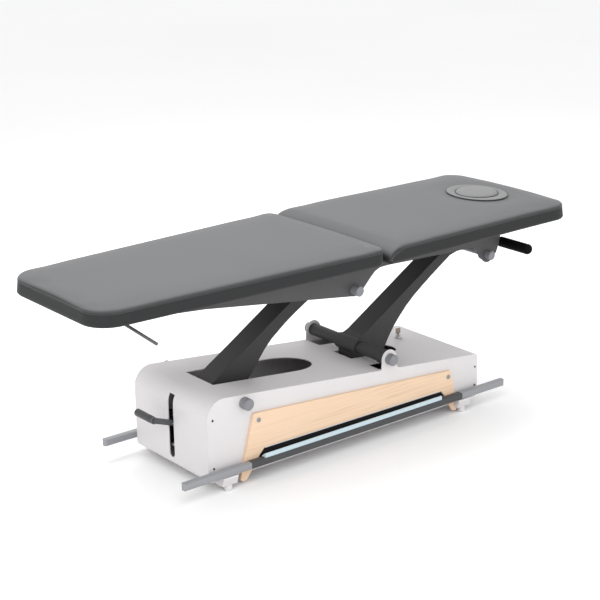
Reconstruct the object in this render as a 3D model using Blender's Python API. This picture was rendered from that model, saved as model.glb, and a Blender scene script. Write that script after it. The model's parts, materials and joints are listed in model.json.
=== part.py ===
# Height-adjustable two-section treatment table. Metres, +X towards the head
# end, +Z up, floor at z = 0, centred on the pads.
import bpy
import bmesh
import math
from mathutils import Vector, Matrix

# ---------------------------------------------------------------- dimensions
GAP = 0.0003                   # running gap between neighbouring pieces
SHEET = 0.003                  # casing sheet
BX0, BX1 = -0.588, 0.644       # casing ends
BZ0 = 0.0316                   # casing bottom edge
TOP_A, TOP_B = 0.2649, 0.1047  # casing top z = TOP_A - TOP_B * x
SIDE_OUT = 0.2145              # outer face of the side plates
SIDE_IN = SIDE_OUT - SHEET
LL = (-0.437, 0.283)           # lower left pivot (x, z)
LR = (0.2056, 0.283)           # lower right pivot
UL = (0.0486, 0.5715)          # upper left pivot
UR = (0.6916, 0.5715)          # upper right pivot
ARM_ANGLE = math.radians(30.715)
ARM_LEN = 0.5648
ARM_HALF = 0.045               # half width of a lift arm
PAD_TOP, PAD_BOT = 0.737, 0.6755
BOARD_TOP = 0.6905
LEG_END, HEAD_END = 0.0995, 0.1075   # the two pad ends at the middle joint
LEG_AXIS = (0.0795, 0.690)
HEAD_AXIS = (0.1475, 0.690)
PLATE_OUT, PLATE_IN = 0.2085, 0.2025
PLUG_C = (0.836, 0.0)          # centre of the face opening
PLUG_A, PLUG_B = 0.094, 0.121  # half axes of the face opening
BAR_IN, BAR_OUT = 0.2262, 0.2530
BAR_Z0, BAR_Z1 = 0.0550, 0.0790
WOOD_IN, WOOD_OUT = 0.2148, 0.2250
FOOT_X = (-0.523, 0.5495)
FOOT_Y = 0.235
CASTOR_X = (-0.455, 0.472)
CASTOR_Y = 0.120
CASTOR_Z, CASTOR_R = 0.0335, 0.026
PEDAL_AXIS = (-0.500, 0.141)
PEDAL_GRIP = (-0.657, 0.211)
ACT_A = (-0.440, 0.125)        # rear end of the lift actuator
ACT_DIR = math.radians(4.229)
LEG_SPRING_A, LEG_SPRING_B = (-0.600, 0.622), (-0.300, 0.652)
HEAD_SPRING_A, HEAD_SPRING_B = (0.650, 0.600), (0.260, 0.652)
SPRING_Y = 0.100
LEG_LEVER_AXIS = (-0.800, 0.660)
HEAD_LEVER_AXIS = (0.745, 0.655)
HEAD_LEVER_BAR = (0.775, 0.602)
LOCK = (0.5115, 0.079)

for o in list(bpy.data.objects):
    bpy.data.objects.remove(o, do_unlink=True)

MATS = {}


def material(name, rgb, rough, metal=0.0):
    m = bpy.data.materials.new(name)
    m.use_nodes = True
    b = m.node_tree.nodes["Principled BSDF"]
    b.inputs["Base Color"].default_value = (rgb[0], rgb[1], rgb[2], 1.0)
    b.inputs["Roughness"].default_value = rough
    b.inputs["Metallic"].default_value = metal
    return m


COLOURS = {
    "casing_white": ((0.74, 0.73, 0.735), 0.45, 0.0),
    "frame_grey": ((0.085, 0.085, 0.09), 0.45, 0.0),
    "bar_dark": ((0.075, 0.078, 0.083), 0.5, 0.0),
    "end_grey": ((0.30, 0.305, 0.32), 0.5, 0.0),
    "wood_light": ((0.83, 0.60, 0.39), 0.5, 0.0),
    "board_ply": ((0.45, 0.33, 0.2), 0.7, 0.0),
    "pad_leather": ((0.155, 0.158, 0.162), 0.5, 0.0),
    "plug_leather": ((0.30, 0.30, 0.305), 0.5, 0.0),
    "steel_zinc": ((0.55, 0.55, 0.56), 0.35, 1.0),
    "black_plastic": ((0.012, 0.012, 0.013), 0.5, 0.0),
    "grip_rubber": ((0.01, 0.01, 0.011), 0.7, 0.0),
    "wheel_rubber": ((0.06, 0.06, 0.065), 0.7, 0.0),
    "diffuser": ((0.78, 0.88, 0.92), 0.3, 0.0),
    "lock_brass": ((0.62, 0.5, 0.26), 0.35, 1.0),
}

# ------------------------------------------------------------------- helpers


def obj_from(bm, name):
    bmesh.ops.recalc_face_normals(bm, faces=bm.faces)
    me = bpy.data.meshes.new(name)
    bm.to_mesh(me)
    bm.free()
    ob = bpy.data.objects.new(name, me)
    bpy.context.scene.collection.objects.link(ob)
    return ob


def prism(outline, lo, hi, plane, name="tmp"):
    bm = bmesh.new()

    def p(u, v, w):
        if plane == "XZ":
            return (u, w, v)
        if plane == "XY":
            return (u, v, w)
        return (w, u, v)

    a = [bm.verts.new(p(u, v, lo)) for u, v in outline]
    b = [bm.verts.new(p(u, v, hi)) for u, v in outline]
    bm.faces.new(a)
    bm.faces.new(b[::-1])
    n = len(a)
    for i in range(n):
        j = (i + 1) % n
        bm.faces.new((a[i], b[i], b[j], a[j]))
    return obj_from(bm, name)


def box(x0, x1, y0, y1, z0, z1, name="tmp"):
    return prism([(x0, z0), (x1, z0), (x1, z1), (x0, z1)], y0, y1, "XZ", name)


def circle(cx, cy, r, n=24, a0=0.0, a1=360.0, rb=None):
    rb = r if rb is None else rb
    full = abs(a1 - a0 - 360.0) < 1e-6
    m = n if full else n + 1
    out = []
    for i in range(m):
        t = math.radians(a0 + (a1 - a0) * i / n)
        out.append((cx + r * math.cos(t), cy + rb * math.sin(t)))
    return out


def rod(p0, p1, r, n=20, name="tmp", r1=None):
    p0, p1 = Vector(p0), Vector(p1)
    d = p1 - p0
    q = Vector((0, 0, 1)).rotation_difference(d.normalized()).to_matrix().to_4x4()
    bm = bmesh.new()
    bmesh.ops.create_cone(bm, cap_ends=True, segments=n, radius1=r,
                          radius2=r if r1 is None else r1, depth=d.length,
                          matrix=Matrix.Translation((p0 + p1) / 2) @ q)
    return obj_from(bm, name)


def ycyl(x, z, y0, y1, r, n=24, name="tmp"):
    return prism(circle(x, z, r, n), y0, y1, "XZ", name)


def zcyl(x, y, z0, z1, r, n=24, name="tmp", rb=None):
    return prism(circle(x, y, r, n, rb=rb), z0, z1, "XY", name)


def boolean(ob, others, op):
    for o in others:
        m = ob.modifiers.new("b", "BOOLEAN")
        m.operation = op
        m.solver = "EXACT"
        m.object = o
        dg = bpy.context.evaluated_depsgraph_get()
        dg.update()
        me = bpy.data.meshes.new_from_object(ob.evaluated_get(dg))
        ob.modifiers.remove(m)
        old = ob.data
        ob.data = me
        bpy.data.meshes.remove(old)
        bpy.data.objects.remove(o, do_unlink=True)
    return ob


def cut(ob, *others):
    return boolean(ob, others, "DIFFERENCE")


def join(ob, *others):
    return boolean(ob, others, "UNION")


def corner(points, radii, seg=4):
    """Outline with its corners rounded; radius 0 keeps a corner sharp."""
    out = []
    n = len(points)
    for i in range(n):
        p = Vector(points[i])
        r = radii[i] if not isinstance(radii, float) else radii
        if r <= 0:
            out.append((p.x, p.y))
            continue
        a = (Vector(points[i - 1]) - p).normalized()
        b = (Vector(points[(i + 1) % n]) - p).normalized()
        ang = a.angle(b)
        d = r / math.tan(ang / 2)
        c = p + (a + b).normalized() * (r / math.sin(ang / 2))
        v0 = p + a * d - c
        v1 = p + b * d - c
        a0 = math.atan2(v0.y, v0.x)
        da = math.atan2(v1.y, v1.x) - a0
        while da > math.pi:
            da -= 2 * math.pi
        while da < -math.pi:
            da += 2 * math.pi
        for k in range(seg + 1):
            t = a0 + da * k / seg
            out.append((c.x + r * math.cos(t), c.y + r * math.sin(t)))
    return out


def top_z(x):
    return TOP_A - TOP_B * x


NODES = []


def done(ob, name, mat, pivot=None, sharp=35.0):
    ob.name = name
    ob.data.name = name
    if mat not in MATS:
        MATS[mat] = True
    own = material(name + "_mat", *COLOURS[mat])
    ob.data.materials.clear()
    ob.data.materials.append(own)
    for p in ob.data.polygons:
        p.use_smooth = True
    ob.data.set_sharp_from_angle(angle=math.radians(sharp))
    if pivot is not None:
        v = Vector(pivot)
        ob.data.transform(Matrix.Translation(-v))
        ob.location = v
    NODES.append(ob)
    return ob


def arm_pt(base, s, t):
    c, n = math.cos(ARM_ANGLE), math.sin(ARM_ANGLE)
    return (base[0] + s * c - t * n, base[1] + s * n + t * c)


# ------------------------------------------------------------------- casing
slope = math.atan(TOP_B)
LIP = 0.018                    # bend radius along the bottom of the foot end
outer = corner([(BX0, BZ0), (BX0, top_z(BX0)), (BX1, top_z(BX1)), (BX1, BZ0)],
               [0, 0.065, 0.012, 0], 8)
inner = corner([(BX0 + SHEET, BZ0), (BX0 + SHEET, top_z(BX0 + SHEET) - SHEET / math.cos(slope)),
                (BX1 - SHEET, top_z(BX1 - SHEET) - SHEET / math.cos(slope)), (BX1 - SHEET, BZ0)],
               [0, 0.062, 0.009, 0], 8)
outer = circle(BX0 + LIP, BZ0 + LIP, LIP, 5, 270, 180) + outer[1:]
inner = circle(BX0 + LIP, BZ0 + LIP, LIP - SHEET, 5, 270, 180) + inner[1:]
wrap = prism(outer + inner[::-1], -(SIDE_IN - GAP), SIDE_IN - GAP, "XZ")
dslot = [(-0.466, -0.0815)] + circle(-0.110, 0.0, 0.120, 16, -90, 90, 0.0815) + [(-0.466, 0.0815)]
arm_slot = [(0.167, -0.053)] + circle(0.360, 0.0, 0.053, 12, -90, 90) + [(0.167, 0.053)]
cut(wrap,
    prism(dslot, 0.20, 0.40, "XY"),
    prism(arm_slot, 0.18, 0.36, "XY"),
    box(0.172, 0.246, -0.198, -0.135, 0.20, 0.30),
    box(0.172, 0.246, 0.135, 0.198, 0.20, 0.30),
    prism([(-0.018, 0.2875), (0.012, 0.2875)] + circle(-0.003, 0.075, 0.015, 10, 0, -180)[::1],
          -0.600, -0.560, "YZ"))
done(wrap, "base_wrap_panel", "casing_white")

side_outline = (
    [(BX0, BZ0 + 0.018)] + circle(BX0 + 0.018, BZ0 + 0.018, 0.018, 4, 180, 270)[1:]
    + circle(BX1 - 0.010, BZ0 + 0.010, 0.010, 3, 270, 360)
    + corner([(BX1, 0.10), (BX1, top_z(BX1)), (0.262, top_z(0.262))], [0, 0.012, 0], 4)[1:]
    + [(0.2540, 0.2392), (0.2465, 0.2430), (0.2420, 0.2500), (0.2400, 0.262)]
    + circle(LR[0], LR[1], 0.034, 12, 0, 172)
    + [(0.1712, 0.262), (0.1702, top_z(0.1702) + 0.0005)]
    + corner([(0.160, top_z(0.160)), (BX0, top_z(BX0)), (BX0, 0.10)], [0, 0.065, 0], 8)[1:-1])
for side, sgn in (("near", -1), ("far", 1)):
    y0, y1 = sorted((sgn * SIDE_IN, sgn * SIDE_OUT))
    plate = prism(side_outline, y0, y1, "XZ")
    cut(plate, ycyl(LL[0], LL[1], y0 - 0.01, y1 + 0.01, 0.0103),
        ycyl(LR[0], LR[1], y0 - 0.01, y1 + 0.01, 0.0103))
    done(plate, "base_side_plate_" + side, "casing_white")

# ------------------------------------------------------- floor tray, chassis
tray = box(BX0 + LIP + GAP, BX1 - SHEET - GAP, -(SIDE_IN - GAP), SIDE_IN - GAP, BZ0, BZ0 + SHEET)
for cx in CASTOR_X:
    for s in (-1, 1):
        cut(tray, box(cx - 0.042, cx + 0.042, s * CASTOR_Y - 0.024, s * CASTOR_Y + 0.024, 0.02, 0.05))
done(tray, "base_floor_tray", "casing_white")

TZ = BZ0 + SHEET + GAP
chassis = box(-0.560, 0.620, -0.190, -0.152, TZ, 0.072)
join(chassis, box(-0.560, 0.620, 0.152, 0.190, TZ, 0.072),
     box(-0.405, -0.365, -0.170, 0.170, TZ, 0.056),
     box(0.100, 0.140, -0.170, 0.170, TZ, 0.056),
     box(0.575, 0.612, -0.170, 0.170, TZ, 0.056),
     box(-0.522, -0.478, -0.158, -0.152, 0.050, 0.158),
     box(-0.522, -0.478, 0.152, 0.158, 0.050, 0.158))
done(chassis, "chassis_frame", "frame_grey")

ctrl = prism(corner([(0.270, 0.030), (0.430, 0.030), (0.430, 0.140), (0.270, 0.140)], 0.006, 2),
             TZ, 0.112, "XY")
done(ctrl, "control_box", "black_plastic")

# ------------------------------------------------------- wood panels, lights
wood_outline = corner(
    [(-0.406, 0.238), (-0.466, 0.016), (-0.459, 0.008), (-0.4425, 0.008), (-0.422, 0.0325),
     (-0.385, 0.084), (-0.363, 0.1065), (0.449, 0.102), (0.470, 0.077), (0.496, 0.031),
     (0.512, 0.008), (0.528, 0.008), (0.5335, 0.018), (0.520, 0.082), (0.498, 0.170)],
    [0.010, 0.004, 0.004, 0, 0, 0, 0.008, 0.008, 0, 0, 0, 0.004, 0, 0, 0.008], 3)
for side, sgn in (("near", -1), ("far", 1)):
    y0, y1 = sorted((sgn * WOOD_IN, sgn * WOOD_OUT))
    done(prism(wood_outline, y0, y1, "XZ"), "wood_panel_" + side, "wood_light")
    y0, y1 = sorted((sgn * WOOD_IN, sgn * 0.2185))
    rail = prism([(-0.392, 0.060), (0.470, 0.060), (0.466, 0.080), (0.445, 0.1010), (-0.361, 0.1055),
                  (-0.381, 0.085)], y0, y1, "XZ")
    done(rail, "light_rail_" + side, "black_plastic")

# --------------------------------------------------------------- foot bars
for side, sgn in (("near", -1), ("far", 1)):
    ya, yb = sorted((sgn * BAR_IN, sgn * BAR_OUT))
    piv = (0.0, sgn * 0.2396, 0.067)
    prof = corner([(ya, BAR_Z0), (yb, BAR_Z0), (yb, BAR_Z1), (ya, BAR_Z1)], 0.004, 2)
    bar = prism(prof, -0.4384, 0.533, "YZ")
    done(bar, "foot_bar_" + side, "bar_dark", piv)
    for end, x0, x1 in (("left", -0.710, -0.4384 - GAP), ("right", 0.533 + GAP, 0.754)):
        piece = prism(prof, x0, x1, "YZ")
        tipx = x0 if end == "left" else x1
        d = 0.014 if end == "left" else -0.014
        cap = corner([(tipx + d * 4, ya - 0.02), (tipx, ya - 0.02), (tipx, yb + 0.02), (tipx + d * 4, yb + 0.02)], 0.0, 1)
        keep = corner([(tipx, ya), (tipx, yb), (tipx + d * 5, yb), (tipx + d * 5, ya)], [0.011, 0.011, 0, 0], 5)
        rest0, rest1 = sorted((tipx + d * 4.5, x1 if end == "left" else x0))
        piece = boolean(piece, [join(prism(keep, 0.050, 0.084, "XY"),
                                     box(rest0, rest1, ya - 0.002, yb + 0.002, 0.050, 0.084))], "INTERSECT")
        done(piece, "bar_end_%s_%s" % (side, end), "end_grey", piv)
    ya, yb = sorted((sgn * 0.2290, sgn * 0.2500))
    dif = prism([(ya, BAR_Z1 + GAP), (yb, BAR_Z1 + GAP), (yb, 0.0812), (ya + 0.0060, 0.0930), (ya, 0.0930)],
                -0.378, 0.432, "YZ")
    done(dif, "light_diffuser_" + side, "diffuser", piv)

# ----------------------------------------------------------- feet and beams
for end, fx in (("left", FOOT_X[0]), ("right", FOOT_X[1])):
    beam = prism([(-0.2500, 0.0450), (-0.2500, 0.0530), (-0.2265, 0.0530), (-0.2145, 0.0313),
                  (0.2145, 0.0313), (0.2265, 0.0530), (0.2500, 0.0530), (0.2500, 0.0450),
                  (0.2330 + 0.0100, 0.0210), (-0.2430, 0.0210)], fx - 0.030, fx + 0.030, "YZ")
    if end == "right":
        cut(beam, box(0.500, 0.5388, -0.2254, -0.2138, 0.0, 0.07), box(0.500, 0.5388, 0.2138, 0.2254, 0.0, 0.07))
    done(beam, "foot_beam_" + end, "casing_white")
    for side, sgn in (("near", -1), ("far", 1)):
        foot = rod((fx, sgn * FOOT_Y * 0.985, 0.0), (fx, sgn * FOOT_Y * 0.985, 0.0040), 0.0125, 24, r1=0.014)
        join(foot, zcyl(fx, sgn * FOOT_Y * 0.985, 0.0035, 0.0207, 0.014, 24))
        done(foot, "foot_%s_%s" % (side, end), "casing_white")

# ------------------------------------------------------- castors and carriage
PIVC = (0.0, 0.0, 0.090)
carr = box(CASTOR_X[0] - 0.022, CASTOR_X[1] + 0.022, -0.020, 0.020, 0.078, 0.092)
for cx in CASTOR_X:
    join(carr, box(cx - 0.020, cx + 0.020, -0.142, 0.142, 0.078, 0.092))
    for s in (-1, 1):
        for k in (-1, 1):
            yc = s * CASTOR_Y + k * 0.0155
            cheek = prism([(cx - 0.018, 0.085), (cx - 0.010, 0.028), (cx + 0.010, 0.028), (cx + 0.018, 0.085)],
                          yc - 0.0015, yc + 0.0015, "XZ")
            cut(cheek, ycyl(cx, CASTOR_Z, yc - 0.01, yc + 0.01, 0.0043, 12))
            join(carr, cheek)
done(carr, "castor_carriage", "steel_zinc", PIVC)
for end, cx in (("left", CASTOR_X[0]), ("right", CASTOR_X[1])):
    for side, s in (("near", -1), ("far", 1)):
        yc = s * CASTOR_Y
        w = ycyl(cx, CASTOR_Z, yc - 0.0110, yc + 0.0110, CASTOR_R, 28)
        join(w, ycyl(cx, CASTOR_Z, yc - 0.0180, yc + 0.0180, 0.0040, 12))
        done(w, "castor_wheel_%s_%s" % (side, end), "wheel_rubber", (cx, yc, CASTOR_Z))

# ------------------------------------------------------------------- pedal
PA, PG = Vector(PEDAL_AXIS), Vector(PEDAL_GRIP)
bend = Vector((-0.586, 0.1850))


def strap(pts, w):
    left, right = [], []
    for i, p in enumerate(pts):
        d0 = (pts[min(i + 1, len(pts) - 1)] - pts[max(i - 1, 0)]).normalized()
        nrm = Vector((-d0.y, d0.x))
        left.append(tuple(p + nrm * w))
        right.append(tuple(p - nrm * w))
    return left + right[::-1]


arm = prism(strap([PA, bend, PG], 0.0095), -0.0070, 0.0010, "XZ")
join(arm, ycyl(PG.x, PG.y, -0.0070, 0.0010, 0.0120, 20), ycyl(PA.x, PA.y, -0.0090, 0.0030, 0.0150, 20),
     ycyl(PA.x, PA.y, -0.1515, 0.1515, 0.0070, 16), ycyl(PG.x, PG.y, -0.0120, -0.0060, 0.0065, 12))
done(arm, "pedal_arm", "frame_grey", (PA.x, 0, PA.y))
grip = ycyl(PG.x, PG.y, 0.0013, 0.0960, 0.0130, 20)
join(grip, prism(circle(PG.x, PG.y, 0.0112, 20), 0.0950, 0.1000, "XZ"))
done(grip, "pedal_grip", "grip_rubber", (PA.x, 0, PA.y))

# ------------------------------------------------------------ pivot shafts


def shaft(pt, reach, r, cap_r, face, name, pivot=None):
    """Round shaft with a domed-edge cap outside each plate."""
    s = ycyl(pt[0], pt[1], -reach + 0.002, reach - 0.002, r, 20)
    for k in (-1, 1):
        y0, y1 = sorted((k * face, k * (reach - 0.0015)))
        c = ycyl(pt[0], pt[1], y0, y1, cap_r, 28)
        y0, y1 = sorted((k * (reach - 0.004), k * reach))
        join(s, c, ycyl(pt[0], pt[1], y0, y1, cap_r - 0.0018, 28))
    return done(s, name, "end_grey", pivot)


shaft(LL, 0.2440, 0.0100, 0.0205, SIDE_OUT + GAP, "pivot_shaft_lower_left")
shaft(LR, 0.2400, 0.0100, 0.0205, SIDE_OUT + GAP, "pivot_shaft_lower_right")
shaft(UL, 0.2400, 0.0100, 0.0180, PLATE_OUT + GAP, "pivot_shaft_upper_left", (UL[0], 0, UL[1]))
shaft(UR, 0.2310, 0.0100, 0.0165, PLATE_OUT + GAP, "pivot_shaft_upper_right", (UR[0], 0, UR[1]))

# --------------------------------------------------------------- lift arms
left_top = [(0.0125, 0.0205), (0.17, 0.0235), (0.27, 0.0265), (0.40, 0.0300), (0.50, 0.0290)]
left_low = [(0.465, -0.0165), (0.40, -0.0155), (0.35, -0.0166), (0.28, -0.0235), (0.238, -0.033),
            (0.186, -0.052), (0.150, -0.066), (0.123, -0.075), (0.095, -0.074), (0.050, -0.054)]
out = left_top + circle(ARM_LEN, 0.0, 0.0245, 10, 78, -105) + left_low + circle(0.0, 0.0, 0.0205, 8, -110, -250)
la = prism([arm_pt(LL, s, t) for s, t in out], -ARM_HALF, ARM_HALF, "XZ")
cut(la, ycyl(LL[0], LL[1], -0.06, 0.06, 0.0103, 20), ycyl(UL[0], UL[1], -0.06, 0.06, 0.0103, 20))
done(la, "lift_arm_left", "frame_grey", (LL[0], 0, LL[1]))

EYE = (-0.0516, -0.0971)
right_top = [(0.045, 0.0200), (0.23, 0.0225), (0.40, 0.0255), (0.47, 0.0265), (0.52, 0.0265)]
right_low = [(0.519, -0.0110), (0.41, -0.014), (0.356, -0.017), (0.304, -0.021), (0.257, -0.0285),
             (0.213, -0.040), (0.172, -0.053), (0.140, -0.067), (0.117, -0.079), (0.095, -0.092),
             (0.050, -0.108), (0.000, -0.116)]
out = (right_top + circle(ARM_LEN, 0.0, 0.0245, 10, 80, -125) + right_low
       + circle(EYE[0], EYE[1], 0.0175, 6, -80, -190) + circle(0.0, 0.0, 0.0270, 10, 196, 72))
ra = prism([arm_pt(LR, s, t) for s, t in out], -ARM_HALF, ARM_HALF, "XZ")
fork = [arm_pt(LR, s, t) for s, t in ((-0.100, -0.145), (0.000, -0.145), (0.000, -0.058), (-0.100, -0.058))]
join(ra, ycyl(LR[0], LR[1], -ARM_HALF - 0.010, ARM_HALF + 0.010, 0.0290, 24))
cut(ra, ycyl(LR[0], LR[1], -0.07, 0.07, 0.0228, 24), ycyl(UR[0], UR[1], -0.06, 0.06, 0.0118, 20),
    prism(fork, -0.0150, 0.0150, "XZ"))
done(ra, "lift_arm_right", "frame_grey", (LR[0], 0, LR[1]))

tube = ycyl(LR[0], LR[1], -(SIDE_IN - 0.001), SIDE_IN - 0.001, 0.0225, 24)
cut(tube, ycyl(LR[0], LR[1], -0.25, 0.25, 0.0103, 20))
join(tube, cut(ycyl(LR[0], LR[1], -0.2000, -0.1700, 0.0262, 24), ycyl(LR[0], LR[1], -0.25, 0.25, 0.0200, 24)))
done(tube, "cross_tube", "frame_grey", (LR[0], 0, LR[1]))

# --------------------------------------------------------------- actuator
ca, sa = math.cos(ACT_DIR), math.sin(ACT_DIR)


def act(l, y=0.0):
    return (ACT_A[0] + l * ca, y, ACT_A[1] + l * sa)


hous = rod(act(0.010), act(0.490), 0.0220, 24)
join(hous, rod(act(0.020, 0.046), act(0.200, 0.046), 0.0270, 24), rod(act(0.480), act(0.505), 0.0250, 24))
cut(hous, rod(act(0.245), act(0.520), 0.0108, 20))
done(hous, "actuator_housing", "black_plastic")
arod = rod(act(0.300), act(0.640), 0.0105, 20)
tip = act(0.6526)
join(arod, ycyl(tip[0], tip[2], -0.0125, 0.0125, 0.0150, 20))
done(arod, "actuator_rod", "steel_zinc", tip)

# ---------------------------------------------------------- upper frame
frame_outline = (
    [(-0.848, 0.668), (-0.848, 0.672 - 0.010), (-0.578, 0.637), (-0.333, 0.602), (-0.147, 0.576)]
    + [(0.030, 0.5505), (0.0486, 0.5470), (0.066, 0.5490), (0.079, 0.556), (0.124, 0.6015), (0.143, 0.6185),
       (0.166, 0.6280), (0.203, 0.6290), (0.320, 0.6240), (0.510, 0.6160), (0.590, 0.6145), (0.618, 0.6080),
       (0.638, 0.5930), (0.652, 0.566)]
    + circle(UR[0], UR[1], 0.0290, 6, 215, 305)
    + [(0.735, 0.573), (0.7480, 0.6030), (0.7545, 0.6340), (0.7560, 0.6600), (0.205, 0.6600), (0.190, 0.6470)]
    + [(0.1575, 0.6440), (0.1560, 0.6900)] + circle(HEAD_AXIS[0], HEAD_AXIS[1], 0.0085, 8, 0, 180)
    + [(0.1390, 0.6440), (0.0870, 0.6440), (0.0880, 0.6850)] + circle(LEG_AXIS[0], LEG_AXIS[1], 0.0085, 8, 0, 180)
    + [(0.0700, 0.6560), (0.055, 0.6600), (-0.790, 0.6600)])
for side, sgn in (("near", -1), ("far", 1)):
    y0, y1 = sorted((sgn * PLATE_IN, sgn * PLATE_OUT))
    pl = prism(frame_outline, y0, y1, "XZ")
    cut(pl, ycyl(UL[0], UL[1], y0 - 0.01, y1 + 0.01, 0.0103), ycyl(UR[0], UR[1], y0 - 0.01, y1 + 0.01, 0.0103))
    done(pl, "frame_plate_" + side, "frame_grey", (UL[0], 0, UL[1]))

YI = PLATE_IN - GAP
fc = ycyl(-0.640, 0.6515, -YI, YI, 0.0083, 20)
for k in (-1, 1):
    bx = prism([(-0.645, 0.654), (-0.592, 0.634), (-0.592, 0.612), (-0.606, 0.612), (-0.645, 0.647)],
               SPRING_Y + k * 0.0155 - 0.002, SPRING_Y + k * 0.0155 + 0.002, "XZ")
    join(fc, bx)
done(fc, "frame_cross_left", "frame_grey", (UL[0], 0, UL[1]))
fr = ycyl(0.675, 0.638, -YI, YI, 0.0110, 20)
for k in (-1, 1):
    bx = prism([(0.684, 0.642), (0.664, 0.642), (0.640, 0.606), (0.642, 0.590), (0.658, 0.590), (0.684, 0.628)],
               SPRING_Y + k * 0.0155 - 0.002, SPRING_Y + k * 0.0155 + 0.002, "XZ")
    join(fr, bx)
done(fr, "frame_cross_right", "frame_grey", (UL[0], 0, UL[1]))

# ------------------------------------------------------------- gas springs


def spring(a, b, name, split, body_end):
    pa, pb = Vector((a[0], SPRING_Y, a[1])), Vector((b[0], SPRING_Y, b[1]))
    d = (pb - pa).normalized()
    ln = (pb - pa).length
    cyl = rod(pa + d * 0.004, pa + d * body_end, 0.0110, 20)
    join(cyl, ycyl(a[0], a[1], SPRING_Y - 0.0120, SPRING_Y + 0.0120, 0.0090, 16))
    cut(cyl, rod(pa + d * split, pa + d * (body_end + 0.02), 0.0054, 12))
    done(cyl, name + "_spring_cylinder", "black_plastic", pa)
    rd = rod(pa + d * (split + 0.010), pb - d * 0.004, 0.0050, 12)
    join(rd, ycyl(b[0], b[1], SPRING_Y - 0.0060, SPRING_Y + 0.0060, 0.0085, 16))
    done(rd, name + "_spring_rod", "steel_zinc", pb)


spring(LEG_SPRING_A, LEG_SPRING_B, "leg", 0.050, 0.190)
spring(HEAD_SPRING_A, HEAD_SPRING_B, "head", 0.030, 0.260)

# ------------------------------------------------------- sections: outlines


def half_outline_leg(inset=0.0):
    """Top outline of the leg pad, tapering towards the foot end."""
    x0, x1 = -1.020 + inset, LEG_END - inset
    h0, h1 = 0.275 - inset, 0.325 - inset
    return corner([(x0, -h0), (x1, -h1), (x1, h1), (x0, h0)],
                  [0.090 - inset, 0.042 - inset, 0.042 - inset, 0.090 - inset], 8 if inset < 0.001 else 6)


def half_outline_head(inset=0.0):
    xs = [0.150, 0.280, 0.360, 0.420, 0.480, 0.550, 0.620, 0.690, 0.760, 0.830, 0.900]
    hs = [0.325, 0.325, 0.325, 0.3243, 0.3225, 0.3205, 0.3190, 0.3177, 0.3166, 0.3158, 0.3155]
    x0 = HEAD_END + inset
    near = [(x0, -0.325 + inset)] + [(x, -h + inset) for x, h in zip(xs, hs)]
    tip = []
    for i in range(7):
        t = math.radians(-90 + 78 * i / 6)
        tip.append((0.9365 + (0.076 - inset) * math.cos(t), -0.2395 + (0.076 - inset) * math.sin(t)))
    tip = [p for p in tip if p[0] > 0.902]
    mid = [(1.0175 - inset, -0.150), (1.020 - inset, 0.0), (1.0175 - inset, 0.150)]
    half = near + tip
    return half + mid + [(x, -y) for x, y in half[::-1]]


def pad(outline, z0, z1, crown=0.006):
    """Cushion with rounded top edge and a slightly crowned top."""
    n = len(outline)
    cx = sum(p[0] for p in outline) / n
    bm = bmesh.new()
    rings = []
    steps = ((0.0, z0, 0.003), (0.0, z0 + 0.004, 0.0), (0.0, z1 - 0.014, 0.0), (0.0, z1 - 0.005, 0.0035),
             (0.0, z1, 0.012))
    pts = [Vector(p) for p in outline]
    nor = []
    for i in range(n):
        a, b, c = pts[i - 1], pts[i], pts[(i + 1) % n]
        d1, d2 = (b - a).normalized(), (c - b).normalized()
        m = (Vector((d1.y, -d1.x)) + Vector((d2.y, -d2.x))).normalized()
        nor.append(m)
    for _, z, off in steps:
        rings.append([bm.verts.new((pts[i].x - nor[i].x * off, pts[i].y - nor[i].y * off, z)) for i in range(n)])
    bm.faces.new(rings[0])
    bm.faces.new(rings[-1][::-1])
    for r0, r1 in zip(rings, rings[1:]):
        for i in range(n):
            j = (i + 1) % n
            bm.faces.new((r0[i], r0[j], r1[j], r1[i]))
    return obj_from(bm, "tmp")


POCKET = BOARD_TOP + GAP
leg_piv = (LEG_AXIS[0], 0, LEG_AXIS[1])
head_piv = (HEAD_AXIS[0], 0, HEAD_AXIS[1])


def board_leg(e):
    return corner([(-1.006 - e, -0.262 - e), (0.052 + e, -0.309 - e), (0.052 + e, 0.309 + e), (-1.006 - e, 0.262 + e)],
                  [0.076, 0.004, 0.004, 0.076], 5)


def board_head(e):
    xs = [0.178 - e, 0.36, 0.43, 0.505, 0.575, 0.65, 0.72, 0.90]
    hs = [0.311, 0.311, 0.3095, 0.3075, 0.3055, 0.3040, 0.3030, 0.3010]
    near = [(x, -h - e) for x, h in zip(xs, hs)] + [(0.965 + e * 0.4, -0.2985 - e), (1.0005 + e, -0.262 - e * 0.4)]
    return near + [(x, -y) for x, y in near[::-1]]


lp = pad(half_outline_leg(), PAD_BOT, PAD_TOP)
cut(lp, prism(board_leg(0.0004), 0.66, POCKET, "XY"),
    box(0.040, 0.0942, -0.2145, 0.2145, 0.66, 0.7005))
done(lp, "leg_pad", "pad_leather", leg_piv)
done(prism(board_leg(0.0), PAD_BOT, BOARD_TOP, "XY"), "leg_board", "board_ply", leg_piv)

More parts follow.
